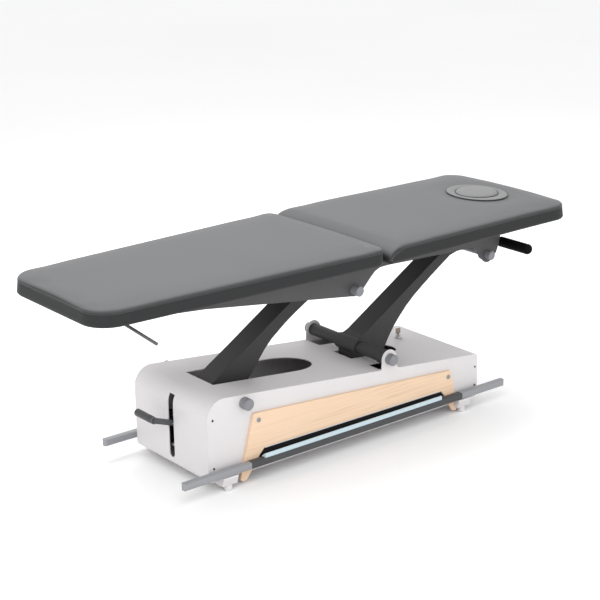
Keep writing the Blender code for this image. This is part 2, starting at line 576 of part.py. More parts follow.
hp = pad(half_outline_head(), PAD_BOT, PAD_TOP)
nose = [(0.080, 0.650), (0.122, 0.650), (0.122, PAD_BOT - 0.0002)]
nose += circle(0.1195, 0.6875, 0.0120, 4, 270, 180)
nose += [(0.1785 - 0.071 * math.cos(math.radians(t)), 0.690 + 0.047 * math.sin(math.radians(t)))
         for t in (4, 14, 25, 36, 47, 58, 68, 78, 86)]
nose += [(0.1785, PAD_TOP + 0.0002), (0.1785, 0.760), (0.080, 0.760)]
cut(hp, prism(nose, -0.36, 0.36, "XZ"),
    prism(board_head(0.0004), 0.66, POCKET, "XY"),
    box(0.1365, 0.185, -0.2145, 0.2145, 0.66, 0.7005),
    box(0.070, 0.1400, -0.2145, -0.1985, 0.60, 0.7005), box(0.070, 0.1400, 0.1985, 0.2145, 0.60, 0.7005),
    zcyl(PLUG_C[0], PLUG_C[1], 0.66, 0.76, PLUG_A, 36, rb=PLUG_B))
done(hp, "head_pad", "pad_leather", head_piv)
hb = prism(board_head(0.0), PAD_BOT, BOARD_TOP, "XY")
cut(hb, zcyl(PLUG_C[0], PLUG_C[1], 0.66, 0.76, PLUG_A + 0.001, 36, rb=PLUG_B + 0.001))
done(hb, "head_board", "board_ply", head_piv)

pg = zcyl(PLUG_C[0], PLUG_C[1], 0.6780, PAD_TOP + 0.0015, PLUG_A - 0.0006, 36, rb=PLUG_B - 0.0006)
join(pg, zcyl(PLUG_C[0], PLUG_C[1], PAD_TOP + GAP, PAD_TOP + 0.0040, PLUG_A + 0.0060, 36, rb=PLUG_B + 0.0060),
     zcyl(PLUG_C[0], PLUG_C[1], PAD_TOP + 0.0030, PAD_TOP + 0.0075, PLUG_A - 0.0180, 36, rb=PLUG_B - 0.0250))
done(pg, "face_plug", "plug_leather", (PLUG_C[0], PLUG_C[1], PAD_TOP))

# --------------------------------------------------------- section hinges


def section_hinge(axis, direction, far_x, clevis, name):
    """Hinge tube with a leaf and a stiffening strap under the board."""
    ax, az = axis
    x_leaf = ax + direction * 0.105
    x0, x1 = sorted((ax - direction * 0.006, x_leaf))
    h = box(x0, x1, -0.190, 0.190, 0.6722, 0.6752)
    x0, x1 = sorted((ax - direction * 0.0060, ax + direction * 0.0060))
    join(h, box(x0, x1, -0.190, 0.190, 0.6725, az), ycyl(ax, az, -YI, YI, 0.0070, 16))
    x0, x1 = sorted((x_leaf - direction * 0.01, far_x))
    join(h, box(x0, x1, SPRING_Y - 0.022, SPRING_Y + 0.022, 0.6722, 0.6752))
    for k in (-1, 1):
        join(h, prism([(clevis[0] - 0.016, 0.6740), (clevis[0] - 0.010, 0.6420), (clevis[0] + 0.010, 0.6420),
                       (clevis[0] + 0.016, 0.6740)], SPRING_Y + k * 0.0100 - 0.0015,
                      SPRING_Y + k * 0.0100 + 0.0015, "XZ"))
    return done(h, name, "frame_grey", (ax, 0, az))


section_hinge(LEG_AXIS, -1, -0.330, LEG_SPRING_B, "leg_section_hinge")
section_hinge(HEAD_AXIS, 1, 0.290, HEAD_SPRING_B, "head_section_hinge")

# ------------------------------------------------------------------ levers
lx, lz = LEG_LEVER_AXIS
lever = ycyl(lx, lz, -0.0150, 0.0150, 0.0070, 16)
join(lever, rod((lx, 0, lz), (-0.862, 0, 0.6530), 0.0055, 12))
for s in (-1, 1):
    join(lever, rod((-0.862, -0.003 * s, 0.6530), (-0.858, s * 0.150, 0.6440), 0.0056, 12),
         rod((-0.8582, s * 0.146, 0.6443), (-0.8400, s * 0.3230, 0.6122), 0.0055, 12))
done(lever, "leg_release_bar", "frame_grey", (lx, 0, lz))

hx, hz = HEAD_LEVER_AXIS
bx, bz = HEAD_LEVER_BAR
hl = ycyl(bx, bz, -0.3150, 0.1900, 0.0080, 16)
for s in (-1, 1):
    join(hl, prism(strap([Vector((bx, bz)), Vector((hx, hz))], 0.0080), s * 0.150 - 0.003, s * 0.150 + 0.003, "XZ"),
         ycyl(hx, hz, s * 0.150 - 0.006, s * 0.150 + 0.006, 0.0095, 16))
done(hl, "head_release_bar", "frame_grey", (hx, 0, hz))
hg = ycyl(bx, bz, -0.3230, -0.1900, 0.0190, 24)
join(hg, ycyl(bx, bz, -0.3250, -0.3220, 0.0165, 24))
cut(hg, ycyl(bx, bz, -0.3160, -0.1800, 0.0083, 16))
done(hg, "head_release_grip", "grip_rubber", (hx, 0, hz))

# -------------------------------------------------------------- key switch
nx, nz = math.sin(slope), math.cos(slope)
kx, ky = LOCK
kz = top_z(kx)


def on_top(h):
    return (kx + nx * h, ky, kz + nz * h)


lock = rod(on_top(0.0004), on_top(0.0060), 0.0140, 24)
join(lock, rod(on_top(0.0050), on_top(0.0140), 0.0095, 20))
done(lock, "key_switch", "steel_zinc", on_top(0.0))
key = rod(on_top(0.0144), on_top(0.0200), 0.0045, 12)
blade = box(kx - 0.0110, kx + 0.0110, ky - 0.0012, ky + 0.0012, kz + 0.0190, kz + 0.0400)
join(key, blade)
done(key, "switch_key", "lock_brass", on_top(0.0))

assert len(NODES) <= 60
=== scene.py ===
import json
import math
import bpy
import bmesh
import numpy as np
from mathutils import Vector, Matrix


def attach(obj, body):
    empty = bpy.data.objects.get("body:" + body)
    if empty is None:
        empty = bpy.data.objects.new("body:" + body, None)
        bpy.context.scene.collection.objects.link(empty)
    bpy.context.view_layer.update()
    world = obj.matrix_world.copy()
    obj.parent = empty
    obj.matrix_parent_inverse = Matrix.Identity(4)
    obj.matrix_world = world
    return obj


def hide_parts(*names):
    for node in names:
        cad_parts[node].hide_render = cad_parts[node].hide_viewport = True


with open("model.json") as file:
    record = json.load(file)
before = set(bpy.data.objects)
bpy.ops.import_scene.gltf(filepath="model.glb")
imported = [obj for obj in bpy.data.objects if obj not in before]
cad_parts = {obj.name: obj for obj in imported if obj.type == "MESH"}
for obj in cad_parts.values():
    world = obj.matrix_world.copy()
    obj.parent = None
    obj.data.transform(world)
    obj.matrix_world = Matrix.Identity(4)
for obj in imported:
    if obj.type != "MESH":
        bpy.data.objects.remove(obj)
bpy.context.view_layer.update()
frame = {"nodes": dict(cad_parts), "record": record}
nodes = frame["nodes"]

# ---------------------------------------------------------------- materials


def node_mat(name):
    m = bpy.data.materials.new(name)
    m.use_nodes = True
    nt = m.node_tree
    bsdf = nt.nodes["Principled BSDF"]
    return m, nt, bsdf


def tex_noise(nt, scale, detail=3.0, rough=0.5, stretch=None):
    tc = nt.nodes.new("ShaderNodeTexCoord")
    no = nt.nodes.new("ShaderNodeTexNoise")
    no.inputs["Scale"].default_value = scale
    no.inputs["Detail"].default_value = detail
    no.inputs["Roughness"].default_value = rough
    if stretch:
        mp = nt.nodes.new("ShaderNodeMapping")
        mp.inputs["Scale"].default_value = stretch
        nt.links.new(tc.outputs["Object"], mp.inputs["Vector"])
        nt.links.new(mp.outputs["Vector"], no.inputs["Vector"])
    else:
        nt.links.new(tc.outputs["Object"], no.inputs["Vector"])
    return no


def ramp(nt, src, stops):
    r = nt.nodes.new("ShaderNodeValToRGB")
    while len(r.color_ramp.elements) < len(stops):
        r.color_ramp.elements.new(0.5)
    for e, (p, c) in zip(r.color_ramp.elements, stops):
        e.position = p
        e.color = (c[0], c[1], c[2], 1.0)
    nt.links.new(src, r.inputs["Fac"])
    return r


def bump(nt, bsdf, src, strength, dist):
    b = nt.nodes.new("ShaderNodeBump")
    b.inputs["Strength"].default_value = strength
    b.inputs["Distance"].default_value = dist
    nt.links.new(src, b.inputs["Height"])
    nt.links.new(b.outputs["Normal"], bsdf.inputs["Normal"])
    return b


def vary(c, k):
    return tuple(min(1.0, x * k) for x in c)


def coated(name, c, rough, metal=0.0, grain=900.0, bstr=0.12, spread=0.04, spec=0.5):
    """Paint, plastic, rubber or plated metal with a fine grain and a slight drift in tone."""
    m, nt, b = node_mat(name)
    big = tex_noise(nt, 6.0, 2.0)
    r = ramp(nt, big.outputs["Fac"], [(0.3, vary(c, 1 - spread)), (0.7, vary(c, 1 + spread))])
    nt.links.new(r.outputs["Color"], b.inputs["Base Color"])
    fine = tex_noise(nt, grain, 2.0)
    mr = nt.nodes.new("ShaderNodeMapRange")
    mr.inputs["To Min"].default_value = rough * 0.9
    mr.inputs["To Max"].default_value = min(1.0, rough * 1.12)
    nt.links.new(fine.outputs["Fac"], mr.inputs["Value"])
    nt.links.new(mr.outputs["Result"], b.inputs["Roughness"])
    b.inputs["Metallic"].default_value = metal
    b.inputs["Specular IOR Level"].default_value = spec
    bump(nt, b, fine.outputs["Fac"], bstr, 0.0003)
    return m


def leather(name, c, rough=0.48, spec=0.40, side=None):
    """Grained leather; with side given, the colour carries painted shade: it turns to that darker tone as the surface
    normal tips away from straight up, so the pad's rolled edge and sides read shaded.
    """
    m, nt, b = node_mat(name)
    big = tex_noise(nt, 3.0, 3.0)
    r = ramp(nt, big.outputs["Fac"], [(0.25, vary(c, 0.965)), (0.75, vary(c, 1.035))])
    tc = nt.nodes.new("ShaderNodeTexCoord")
    # painted shade: base colour mixed from the top tone to the darker side tone by the object-space normal Z, standing
    # in for the shade on the pad's sides
    if side:
        sep = nt.nodes.new("ShaderNodeSeparateXYZ")
        nt.links.new(tc.outputs["Normal"], sep.inputs["Vector"])
        mr = nt.nodes.new("ShaderNodeMapRange")
        mr.interpolation_type = "SMOOTHSTEP"
        mr.inputs["From Min"].default_value = 0.20
        mr.inputs["From Max"].default_value = 0.92
        nt.links.new(sep.outputs["Z"], mr.inputs["Value"])
        mx = nt.nodes.new("ShaderNodeMix")
        mx.data_type = "RGBA"
        nt.links.new(mr.outputs["Result"], mx.inputs["Factor"])
        col_in = [i for i in mx.inputs if i.type == "RGBA"]
        col_in[0].default_value = (side[0], side[1], side[2], 1.0)
        nt.links.new(r.outputs["Color"], col_in[1])
        nt.links.new([o for o in mx.outputs if o.type == "RGBA"][0], b.inputs["Base Color"])
    else:
        nt.links.new(r.outputs["Color"], b.inputs["Base Color"])
    vo = nt.nodes.new("ShaderNodeTexVoronoi")
    vo.feature = "DISTANCE_TO_EDGE"
    vo.inputs["Scale"].default_value = 520.0
    nt.links.new(tc.outputs["Object"], vo.inputs["Vector"])
    no = tex_noise(nt, 60.0, 4.0)
    mix = nt.nodes.new("ShaderNodeMath")
    mix.operation = "MULTIPLY_ADD"
    nt.links.new(vo.outputs["Distance"], mix.inputs[0])
    mix.inputs[1].default_value = 0.9
    nt.links.new(no.outputs["Fac"], mix.inputs[2])
    bump(nt, b, mix.outputs["Value"], 0.22, 0.0007)
    b.inputs["Roughness"].default_value = rough
    b.inputs["Specular IOR Level"].default_value = spec
    b.inputs["Sheen Weight"].default_value = 0.08
    b.inputs["Sheen Roughness"].default_value = 0.4
    return m


def wood(name, light, dark):
    m, nt, b = node_mat(name)
    tc = nt.nodes.new("ShaderNodeTexCoord")
    mp = nt.nodes.new("ShaderNodeMapping")
    mp.inputs["Scale"].default_value = (1.0, 6.0, 13.0)
    mp.inputs["Rotation"].default_value = (0.0, math.radians(3.0), 0.0)
    nt.links.new(tc.outputs["Object"], mp.inputs["Vector"])
    n1 = nt.nodes.new("ShaderNodeTexNoise")
    n1.inputs["Scale"].default_value = 2.4
    n1.inputs["Detail"].default_value = 4.0
    n1.inputs["Distortion"].default_value = 1.3
    nt.links.new(mp.outputs["Vector"], n1.inputs["Vector"])
    wv = nt.nodes.new("ShaderNodeTexWave")
    wv.wave_type = "BANDS"
    wv.bands_direction = "Z"
    wv.inputs["Scale"].default_value = 1.6
    wv.inputs["Distortion"].default_value = 11.0
    wv.inputs["Detail"].default_value = 3.0
    wv.inputs["Detail Scale"].default_value = 0.9
    nt.links.new(mp.outputs["Vector"], wv.inputs["Vector"])
    fine = tex_noise(nt, 40.0, 4.0, 0.6, (1.0, 10.0, 28.0))
    mx = nt.nodes.new("ShaderNodeMath")
    mx.operation = "MULTIPLY_ADD"
    nt.links.new(wv.outputs["Fac"], mx.inputs[0])
    mx.inputs[1].default_value = 0.22
    nt.links.new(n1.outputs["Fac"], mx.inputs[2])
    mx2 = nt.nodes.new("ShaderNodeMath")
    mx2.operation = "MULTIPLY_ADD"
    nt.links.new(fine.outputs["Fac"], mx2.inputs[0])
    mx2.inputs[1].default_value = 0.35
    nt.links.new(mx.outputs["Value"], mx2.inputs[2])
    r = ramp(nt, mx2.outputs["Value"], [(0.38, dark), (0.66, light), (0.92, vary(light, 1.05))])
    nt.links.new(r.outputs["Color"], b.inputs["Base Color"])
    b.inputs["Roughness"].default_value = 0.5
    bump(nt, b, fine.outputs["Fac"], 0.12, 0.0004)
    return m


def glow(name, c, strength):
    """Lit strip: brightest along its upper half, fading towards the lower edge."""
    m, nt, b = node_mat(name)
    no = tex_noise(nt, 30.0, 2.0, 0.5, (0.3, 1.0, 1.0))
    r = ramp(nt, no.outputs["Fac"], [(0.3, vary(c, 0.93)), (0.7, c)])
    nt.links.new(r.outputs["Color"], b.inputs["Base Color"])
    nt.links.new(r.outputs["Color"], b.inputs["Emission Color"])
    tc = nt.nodes.new("ShaderNodeTexCoord")
    sep = nt.nodes.new("ShaderNodeSeparateXYZ")
    nt.links.new(tc.outputs["Object"], sep.inputs["Vector"])
    mr = nt.nodes.new("ShaderNodeMapRange")
    mr.inputs["From Min"].default_value = 0.066
    mr.inputs["From Max"].default_value = 0.088
    mr.inputs["To Min"].default_value = strength * 0.35
    mr.inputs["To Max"].default_value = strength
    nt.links.new(sep.outputs["Z"], mr.inputs["Value"])
    nt.links.new(mr.outputs["Result"], b.inputs["Emission Strength"])
    b.inputs["Roughness"].default_value = 0.35
    return m


M = {
    "casing_white": coated("casing_white", (0.640, 0.622, 0.628), 0.46, grain=700, bstr=0.08, spread=0.012, spec=0.35),
    "frame_grey": coated("frame_grey", (0.040, 0.040, 0.042), 0.50, grain=800, bstr=0.15, spread=0.03, spec=0.25),
    "bar_dark": coated("bar_dark", (0.056, 0.058, 0.062), 0.5, grain=800, bstr=0.15, spread=0.03, spec=0.35),
    "end_grey": coated("end_grey", (0.27, 0.275, 0.29), 0.48, grain=800, bstr=0.12, spread=0.03),
    "wood_light": wood("wood_light", (0.735, 0.535, 0.375), (0.635, 0.420, 0.265)),
    "board_ply": wood("board_ply", (0.13, 0.118, 0.105), (0.095, 0.085, 0.075)),
    # pad_leather carries painted shade: its second, darker tone shades the rolled edge and sides by normal direction
    "pad_leather": leather("pad_leather", (0.100, 0.102, 0.105), 0.56, 0.34, (0.019, 0.0195, 0.0205)),
    "plug_leather": leather("plug_leather", (0.170, 0.171, 0.174), 0.55, 0.38),
    "steel_zinc": coated("steel_zinc", (0.55, 0.55, 0.56), 0.33, 1.0, grain=400, bstr=0.08),
    "black_plastic": coated("black_plastic", (0.008, 0.008, 0.009), 0.55, grain=900, bstr=0.2, spread=0.1, spec=0.2),
    "grip_rubber": coated("grip_rubber", (0.004, 0.004, 0.004), 0.62, grain=700, bstr=0.25, spread=0.1, spec=0.06),
    "wheel_rubber": coated("wheel_rubber", (0.06, 0.06, 0.065), 0.7, grain=500, bstr=0.3, spread=0.05),
    "diffuser": glow("diffuser", (0.43, 0.53, 0.58), 0.26),
    "lock_brass": coated("lock_brass", (0.34, 0.285, 0.235), 0.38, 1.0, grain=400, bstr=0.08),
}
# painted shade: a darker copy of the pad leather, used on the side bands, pad bases, corner seams and plug cords to
# stand in for the shade they fall in
PAINTED_SHADE_LEATHER = leather("pad_leather_painted_shade", (0.019, 0.0195, 0.0205), 0.62, 0.25)
PLATE = coated("plate_grey", (0.072, 0.072, 0.075), 0.50, grain=800, bstr=0.15, spread=0.03, spec=0.3)
ROD = coated("rod_grey", (0.095, 0.097, 0.101), 0.45, grain=800, bstr=0.12, spread=0.03)
CAP = coated("cap_grey", (0.205, 0.208, 0.222), 0.46, grain=800, bstr=0.12, spread=0.03)
PEDAL = coated("pedal_grey", (0.075, 0.077, 0.081), 0.42, grain=800, bstr=0.12, spread=0.03)
PEDAL_GRIP = coated("pedal_rubber", (0.050, 0.051, 0.054), 0.5, grain=700, bstr=0.25, spread=0.06)
SCREW = coated("screw_dark", (0.060, 0.050, 0.045), 0.4, 1.0, grain=400, bstr=0.08)
THREAD = coated("thread", (0.225, 0.228, 0.232), 0.7, grain=1500, bstr=0.3, spread=0.06)

slot_of = {s["node"]: s["material_slot"] for s in frame["record"]["subparts"]}
BEVEL = {
    "base_wrap_panel": 0.0008, "base_side_plate_near": 0.0008, "base_side_plate_far": 0.0008,
    "wood_panel_near": 0.0015, "wood_panel_far": 0.0015, "lift_arm_left": 0.0022, "lift_arm_right": 0.0022,
    "frame_plate_near": 0.0009, "frame_plate_far": 0.0009, "pedal_grip": 0.0025, "head_release_grip": 0.0025,
    "pivot_shaft_lower_left": 0.0008, "pivot_shaft_lower_right": 0.0008, "pivot_shaft_upper_left": 0.0008,
    "pivot_shaft_upper_right": 0.0008, "foot_beam_left": 0.0015, "foot_beam_right": 0.0015,
    "castor_wheel_near_left": 0.0025, "castor_wheel_far_left": 0.0025, "castor_wheel_near_right": 0.0025,
    "castor_wheel_far_right": 0.0025, "control_box": 0.0015, "actuator_housing": 0.0015, "pedal_arm": 0.001,
    "bar_end_near_left": 0.0008, "bar_end_near_right": 0.0008, "bar_end_far_left": 0.0008,
    "bar_end_far_right": 0.0008, "chassis_frame": 0.0012, "cross_tube": 0.0008, "key_switch": 0.0006,
}
for name, ob in nodes.items():
    ob.data.materials.clear()
    special = {"frame_plate": PLATE, "leg_release": ROD, "pivot_shaft": CAP, "pedal_arm": PEDAL}
    mat = next((m for k, m in special.items() if name.startswith(k)), M[slot_of[name]])
    ob.data.materials.append(mat)
    if name in BEVEL:
        bv = ob.modifiers.new("edge", "BEVEL")
        bv.width = BEVEL[name]
        bv.segments = 2
        bv.limit_method = "ANGLE"
        bv.angle_limit = math.radians(40)
        bv.harden_normals = True

# ------------------------------------------------------------------ helpers


def link(ob):
    bpy.context.scene.collection.objects.link(ob)
    return ob


def new_obj(name, bm, mat, smooth=True, sharp=None):
    bmesh.ops.recalc_face_normals(bm, faces=bm.faces)
    me = bpy.data.meshes.new(name)
    bm.to_mesh(me)
    bm.free()
    me.materials.append(mat)
    for p in me.polygons:
        p.use_smooth = smooth
    if sharp:
        me.set_sharp_from_angle(angle=math.radians(sharp))
    return link(bpy.data.objects.new(name, me))


def apply_modifiers(ob):
    dg = bpy.context.evaluated_depsgraph_get()
    dg.update()
    me = bpy.data.meshes.new_from_object(ob.evaluated_get(dg))
    ob.modifiers.clear()
    old = ob.data
    ob.data = me
    bpy.data.meshes.remove(old)
    return ob


def cutter_box(x0, x1, y0, y1, z0, z1):
    bm = bmesh.new()
    bmesh.ops.create_cube(bm, size=1.0, matrix=Matrix.Translation(((x0 + x1) / 2, (y0 + y1) / 2, (z0 + z1) / 2))
                          @ Matrix.Diagonal((x1 - x0, y1 - y0, z1 - z0, 1)))
    return new_obj("cutter", bm, M["black_plastic"], False)


def subtract(ob, cutter):
    m = ob.modifiers.new("cut", "BOOLEAN")
    m.operation = "DIFFERENCE"
    m.solver = "MANIFOLD"
    m.object = cutter
    apply_modifiers(ob)
    bpy.data.objects.remove(cutter, do_unlink=True)


# --------------------------------------------------------------------- pads
PAD_TOP, PAD_BOT = 0.737, 0.6772
NV = 36                 # cells across a pad
ROUND = 0.0100          # rounding of the top edge


def leg_half(x, inset):
    """Half width of the leg pad at x, for an outline drawn in by inset."""
    h = 0.275 + (x + 1.020) / 1.1195 * 0.050 - inset
    r = 0.090 - inset
    x0 = -1.020 + inset
    if x < x0 + r:
        t = max(0.0, r * r - (x0 + r - x) ** 2)
        h = h - r + math.sqrt(t)
    r2 = 0.042 - inset
    x1 = 0.0995 - inset
    if x > x1 - r2:
        t = max(0.0, r2 * r2 - (x - x1 + r2) ** 2)
        h = h - r2 + math.sqrt(t)
    return h


HX = [0.10, 0.360, 0.420, 0.480, 0.550, 0.620, 0.690, 0.760, 0.830, 0.900, 1.02]
HH = [0.325, 0.325, 0.3243, 0.3225, 0.3205, 0.3190, 0.3177, 0.3166, 0.3158, 0.3155, 0.3160]


def head_half(x, inset):
    h = float(np.interp(x, HX, HH)) - inset
    r = 0.078 - inset
    x1 = 1.020 - inset
    if x > x1 - r:
        t = max(0.0, r * r - (x - x1 + r) ** 2)
        h = h - r + math.sqrt(t)
    return h


def pad_surface(name, stations, half, nose=False, bow=0.0):
    """Closed pad: a grid over the top (stations along x), a rounded edge, side band with a seam groove, flat base.
    stations: list of (x, z, normal x, normal z, edge radius)."""
    bm = bmesh.new()
    S = len(stations)
    grid = []
    for s, (x, z, nx, nz, r) in enumerate(stations):
        h = half(x, ROUND)
        row = []
        for v in range(NV + 1):
            u = -1 + 2 * v / NV
            u = math.copysign(abs(u) ** 0.92, u)
            e = 0.0
            if s == (S - 1 if nose else 0):
                e = bow * (1 - u * u)
            crown = 0.0030 * (1 - abs(u) ** 3)
            row.append(bm.verts.new((x + e, u * h, z + crown * max(nz, 0.0))))
        grid.append(row)
    for s in range(S - 1):
        for v in range(NV):
            bm.faces.new((grid[s][v], grid[s + 1][v], grid[s + 1][v + 1], grid[s][v + 1]))
    # the loop round the grid: near side, right end, far side, left end
    loop = [(s, 0) for s in range(S)] + [(S - 1, v) for v in range(1, NV)] \
        + [(s, NV) for s in range(S - 1, -1, -1)] + [(0, v) for v in range(NV - 1, 0, -1)]
    pos = [grid[s][v].co.copy() for s, v in loop]
    n = len(loop)
    rows = []
    depths = [(3.6, 0), (5.4, 0), (6.6, -0.7), (7.9, 0), (14, 0.3), (24, 0.5), (35, 0.5), (46, 0.2)]
    first = [grid[s][v] for s, v in loop]
    outs = []
    for i, (s, v) in enumerate(loop):
        a, c = pos[i - 1], pos[(i + 1) % n]
        d = Vector((c.x - a.x, c.y - a.y, 0))
        out = Vector((d.y, -d.x, 0)).normalized()
        if nose and (s == 0 or stations[s][0] < 0.178) and v in (0, NV):
            out = Vector((0, -1 if v == 0 else 1, 0))
        outs.append(out)
    bottoms = []
    prev = first
    steps = [math.radians(a) for a in (22, 45, 67, 90)]
    kinds = [("arc", a) for a in steps] + [("side", k) for k in range(len(depths))] + [("foot", 0)]
    for kind, val in kinds:
        ring = []
        for i, (s, v) in enumerate(loop):
            x, z, nx, nz, r = stations[s]
            p, out = pos[i], outs[i]
            nose_end = nose and s == 0 and 0 < v < NV
            nrm = Vector((nx, 0, nz))
            rr = min(r, ROUND)
            if nose_end:
                co = p.copy()
                co.z = max(PAD_BOT, p.z - 0.0001)
            elif kind == "arc":
                co = p + out * (ROUND * math.sin(val)) - nrm * (rr * (1 - math.cos(val)))
            else:
                start = p + out * ROUND - nrm * rr
                depth_total = max(start.z - PAD_BOT, 0.0006)
                full = PAD_TOP - ROUND - PAD_BOT
                if kind == "side":
                    d_mm, off = depths[val]
                    frac = (d_mm - 6 + 4) / 50.0
                    co = start + Vector((0, 0, -depth_total * frac))
                    k = min(1.0, depth_total / full)
                    co += out * (off * 0.001 * k)
                else:
                    co = start + Vector((0, 0, -depth_total)) - out * 0.004
            ring.append(bm.verts.new(co))
        # painted shade: side-band faces below the seam groove take the darker leather copy, standing in for the shade
        # on the pad's sides
        dark = kind == "side" and val > 1
        for i in range(n):
            j = (i + 1) % n
            f = bm.faces.new((prev[i], ring[i], ring[j], prev[j]))
            f.material_index = 1 if dark else 0
        prev = ring
    # flat base: a grid of the same topology
    base = {}
    for i, key in enumerate(loop):
        base[key] = prev[i]
    for s in range(S):
        x, z, nx, nz, r = stations[s]
        a, b = base[(s, 0)].co, base[(s, NV)].co
        for v in range(1, NV):
            if (s, v) not in base:
                u = v / NV
                base[(s, v)] = bm.verts.new((a.x * (1 - u) + b.x * u, a.y * (1 - u) + b.y * u, PAD_BOT))
    for s in range(S - 1):
        for v in range(NV):
            f = bm.faces.new((base[(s, v)], base[(s, v + 1)], base[(s + 1, v + 1)], base[(s + 1, v)]))
            f.material_index = 1
    bmesh.ops.remove_doubles(bm, verts=bm.verts, dist=0.00015)
    bmesh.ops.dissolve_degenerate(bm, edges=bm.edges, dist=0.0001)
    ob = new_obj(name, bm, M["pad_leather"])
    ob.data.materials.append(PAINTED_SHADE_LEATHER)
    return ob


def cos_stations(x0, x1, r, count, at_low):
    """Stations bunched near a rounded end of radius r."""
    out = []
    for i in range(count):
        t = math.pi / 2 * i / (count - 1)
        out.append(x0 + r * (1 - math.cos(t)) if at_low else x1 - r * (1 - math.cos(t)))
    return out


def leg_stations():
    x0, x1 = -1.020 + ROUND, LEG_X1 - ROUND
    xs = cos_stations(x0, x1, 0.077, 11, True)
    xs += list(np.linspace(x0 + 0.077, x1 - 0.0320, 60)[1:])
    xs += cos_stations(0, x1, 0.0315, 9, False)[::-1]
    return [(x, PAD_TOP - 0.003, 0.0, 1.0, ROUND) for x in xs]


LEG_X1 = 0.0995


def head_stations():
    out = []
    for a, r in ((270, 0.002), (248, 0.003), (225, 0.0045), (200, 0.006)):
        t = math.radians(a)
        out.append((0.1195 + 0.012 * math.cos(t), 0.6892 + 0.012 * math.sin(t), math.cos(t), math.sin(t), r))
    for t in (0, 8, 16, 24, 32, 40, 48, 56, 64, 71, 78, 84):
        a = math.radians(t)
        nx, nz = -math.cos(a) / 0.071, math.sin(a) / 0.045
        ln = math.hypot(nx, nz)
        out.append((0.1785 - 0.071 * math.cos(a), 0.689 + 0.045 * math.sin(a), nx / ln, nz / ln,
                    min(ROUND, 0.006 + t * 0.0002)))
    x1 = 1.020 - ROUND
    xs = list(np.linspace(0.186, x1 - 0.0675, 52)) + cos_stations(0, x1, 0.0675, 13, False)[::-1][1:]
    out += [(float(x), PAD_TOP - 0.003, 0.0, 1.0, ROUND) for x in xs]
    return out


def puff(ob, cap, pin_low, keep_x, still=None):
    """Cloth pressure swells the cover; the movement is capped and held back near the joint."""
    rest = np.array([v.co[:] for v in ob.data.vertices])
    g = ob.vertex_groups.new(name="pin")
    ids = [i for i, c in enumerate(rest) if c[2] < pin_low]
    g.add(ids, 1.0, "REPLACE")
    cl = ob.modifiers.new("Cloth", "CLOTH")
    st = cl.settings
    st.quality = 4
    st.mass = 0.3
    st.tension_stiffness = st.compression_stiffness = 20
    st.shear_stiffness = 10
    st.bending_stiffness = 3
    st.use_pressure = True
    st.uniform_pressure_force = 4.0
    st.effector_weights.gravity = 0.0
    st.vertex_group_mass = "pin"
    cl.collision_settings.use_collision = False
    cl.point_cache.frame_start = 1
    cl.point_cache.frame_end = 20
    sc = bpy.context.scene
    for f in range(1, 21):
        sc.frame_set(f)
    dg = bpy.context.evaluated_depsgraph_get()
    ev = ob.evaluated_get(dg).data
    now = np.array([v.co[:] for v in ev.vertices])
    ob.modifiers.clear()
    sc.frame_set(1)
    mv = now - rest
    ln = np.linalg.norm(mv, axis=1)
    soft = cap * np.tanh(ln / cap)
    near = np.clip(np.abs(rest[:, 0] - keep_x) / 0.05, 0.12, 1.0)
    if still:
        cx, a, b = still
        e = np.hypot((rest[:, 0] - cx) / a, rest[:, 1] / b)
        near = near * np.clip((e - 1.0) / 0.45, 0.05, 1.0)
    k = np.where(ln > 1e-9, soft / np.maximum(ln, 1e-9), 0.0) * near
    move = mv * k[:, None]
    ends = np.array([e.vertices[:] for e in ob.data.edges])
    count = np.zeros(len(rest))
    np.add.at(count, ends[:, 0], 1.0)
    np.add.at(count, ends[:, 1], 1.0)
    for _ in range(8):
        total = np.zeros_like(move)
        np.add.at(total, ends[:, 0], move[ends[:, 1]])
        np.add.at(total, ends[:, 1], move[ends[:, 0]])
        move = 0.5 * move + 0.5 * total / count[:, None]
        move[ids] = 0.0
    co = rest + move
    ob.data.vertices.foreach_set("co", co.ravel())
    ob.data.update()


leg = pad_surface("pad_leg_cover", leg_stations(), leg_half)
head = pad_surface("pad_head_cover", head_stations(), head_half, nose=True, bow=0.004)
puff(leg, 0.0045, 0.684, LEG_X1)
puff(head, 0.0045, 0.684, 0.1075, (0.836, 0.112, 0.139))
for s in (-1, 1):
    y0, y1 = sorted((s * 0.1985, s * 0.2125))
    subtract(leg, cutter_box(0.050, 0.0940, y0, y1, 0.66, 0.7005))
    subtract(head, cutter_box(0.080, 0.178, y0, y1, 0.60, 0.7005))
# face opening
bm = bmesh.new()
bmesh.ops.create_cone(bm, cap_ends=True, segments=96, radius1=1, radius2=1, depth=0.2,
                      matrix=Matrix.Translation((0.836, 0, 0.72)) @ Matrix.Diagonal((0.094, 0.121, 1, 1)))
subtract(head, new_obj("cutter", bm, M["black_plastic"], False))
for ob, node, body in ((leg, "leg_pad", "leg_section"), (head, "head_pad", "head_section")):
    for p in ob.data.polygons:
        p.use_smooth = True
    ob.data.set_sharp_from_angle(angle=math.radians(50))
    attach(ob, body)
    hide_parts(node)

# ------------------------------------------------------------------ stitches


def surface_point(ob, origin, direction):
    inv = ob.matrix_world.inverted()
    o, d = inv @ Vector(origin), (inv.to_3x3() @ Vector(direction)).normalized()
    hit, loc, nrm, _ = ob.ray_cast(o, d)
    if not hit:
        return None
    return ob.matrix_world @ loc, (ob.matrix_world.to_3x3() @ nrm).normalized()


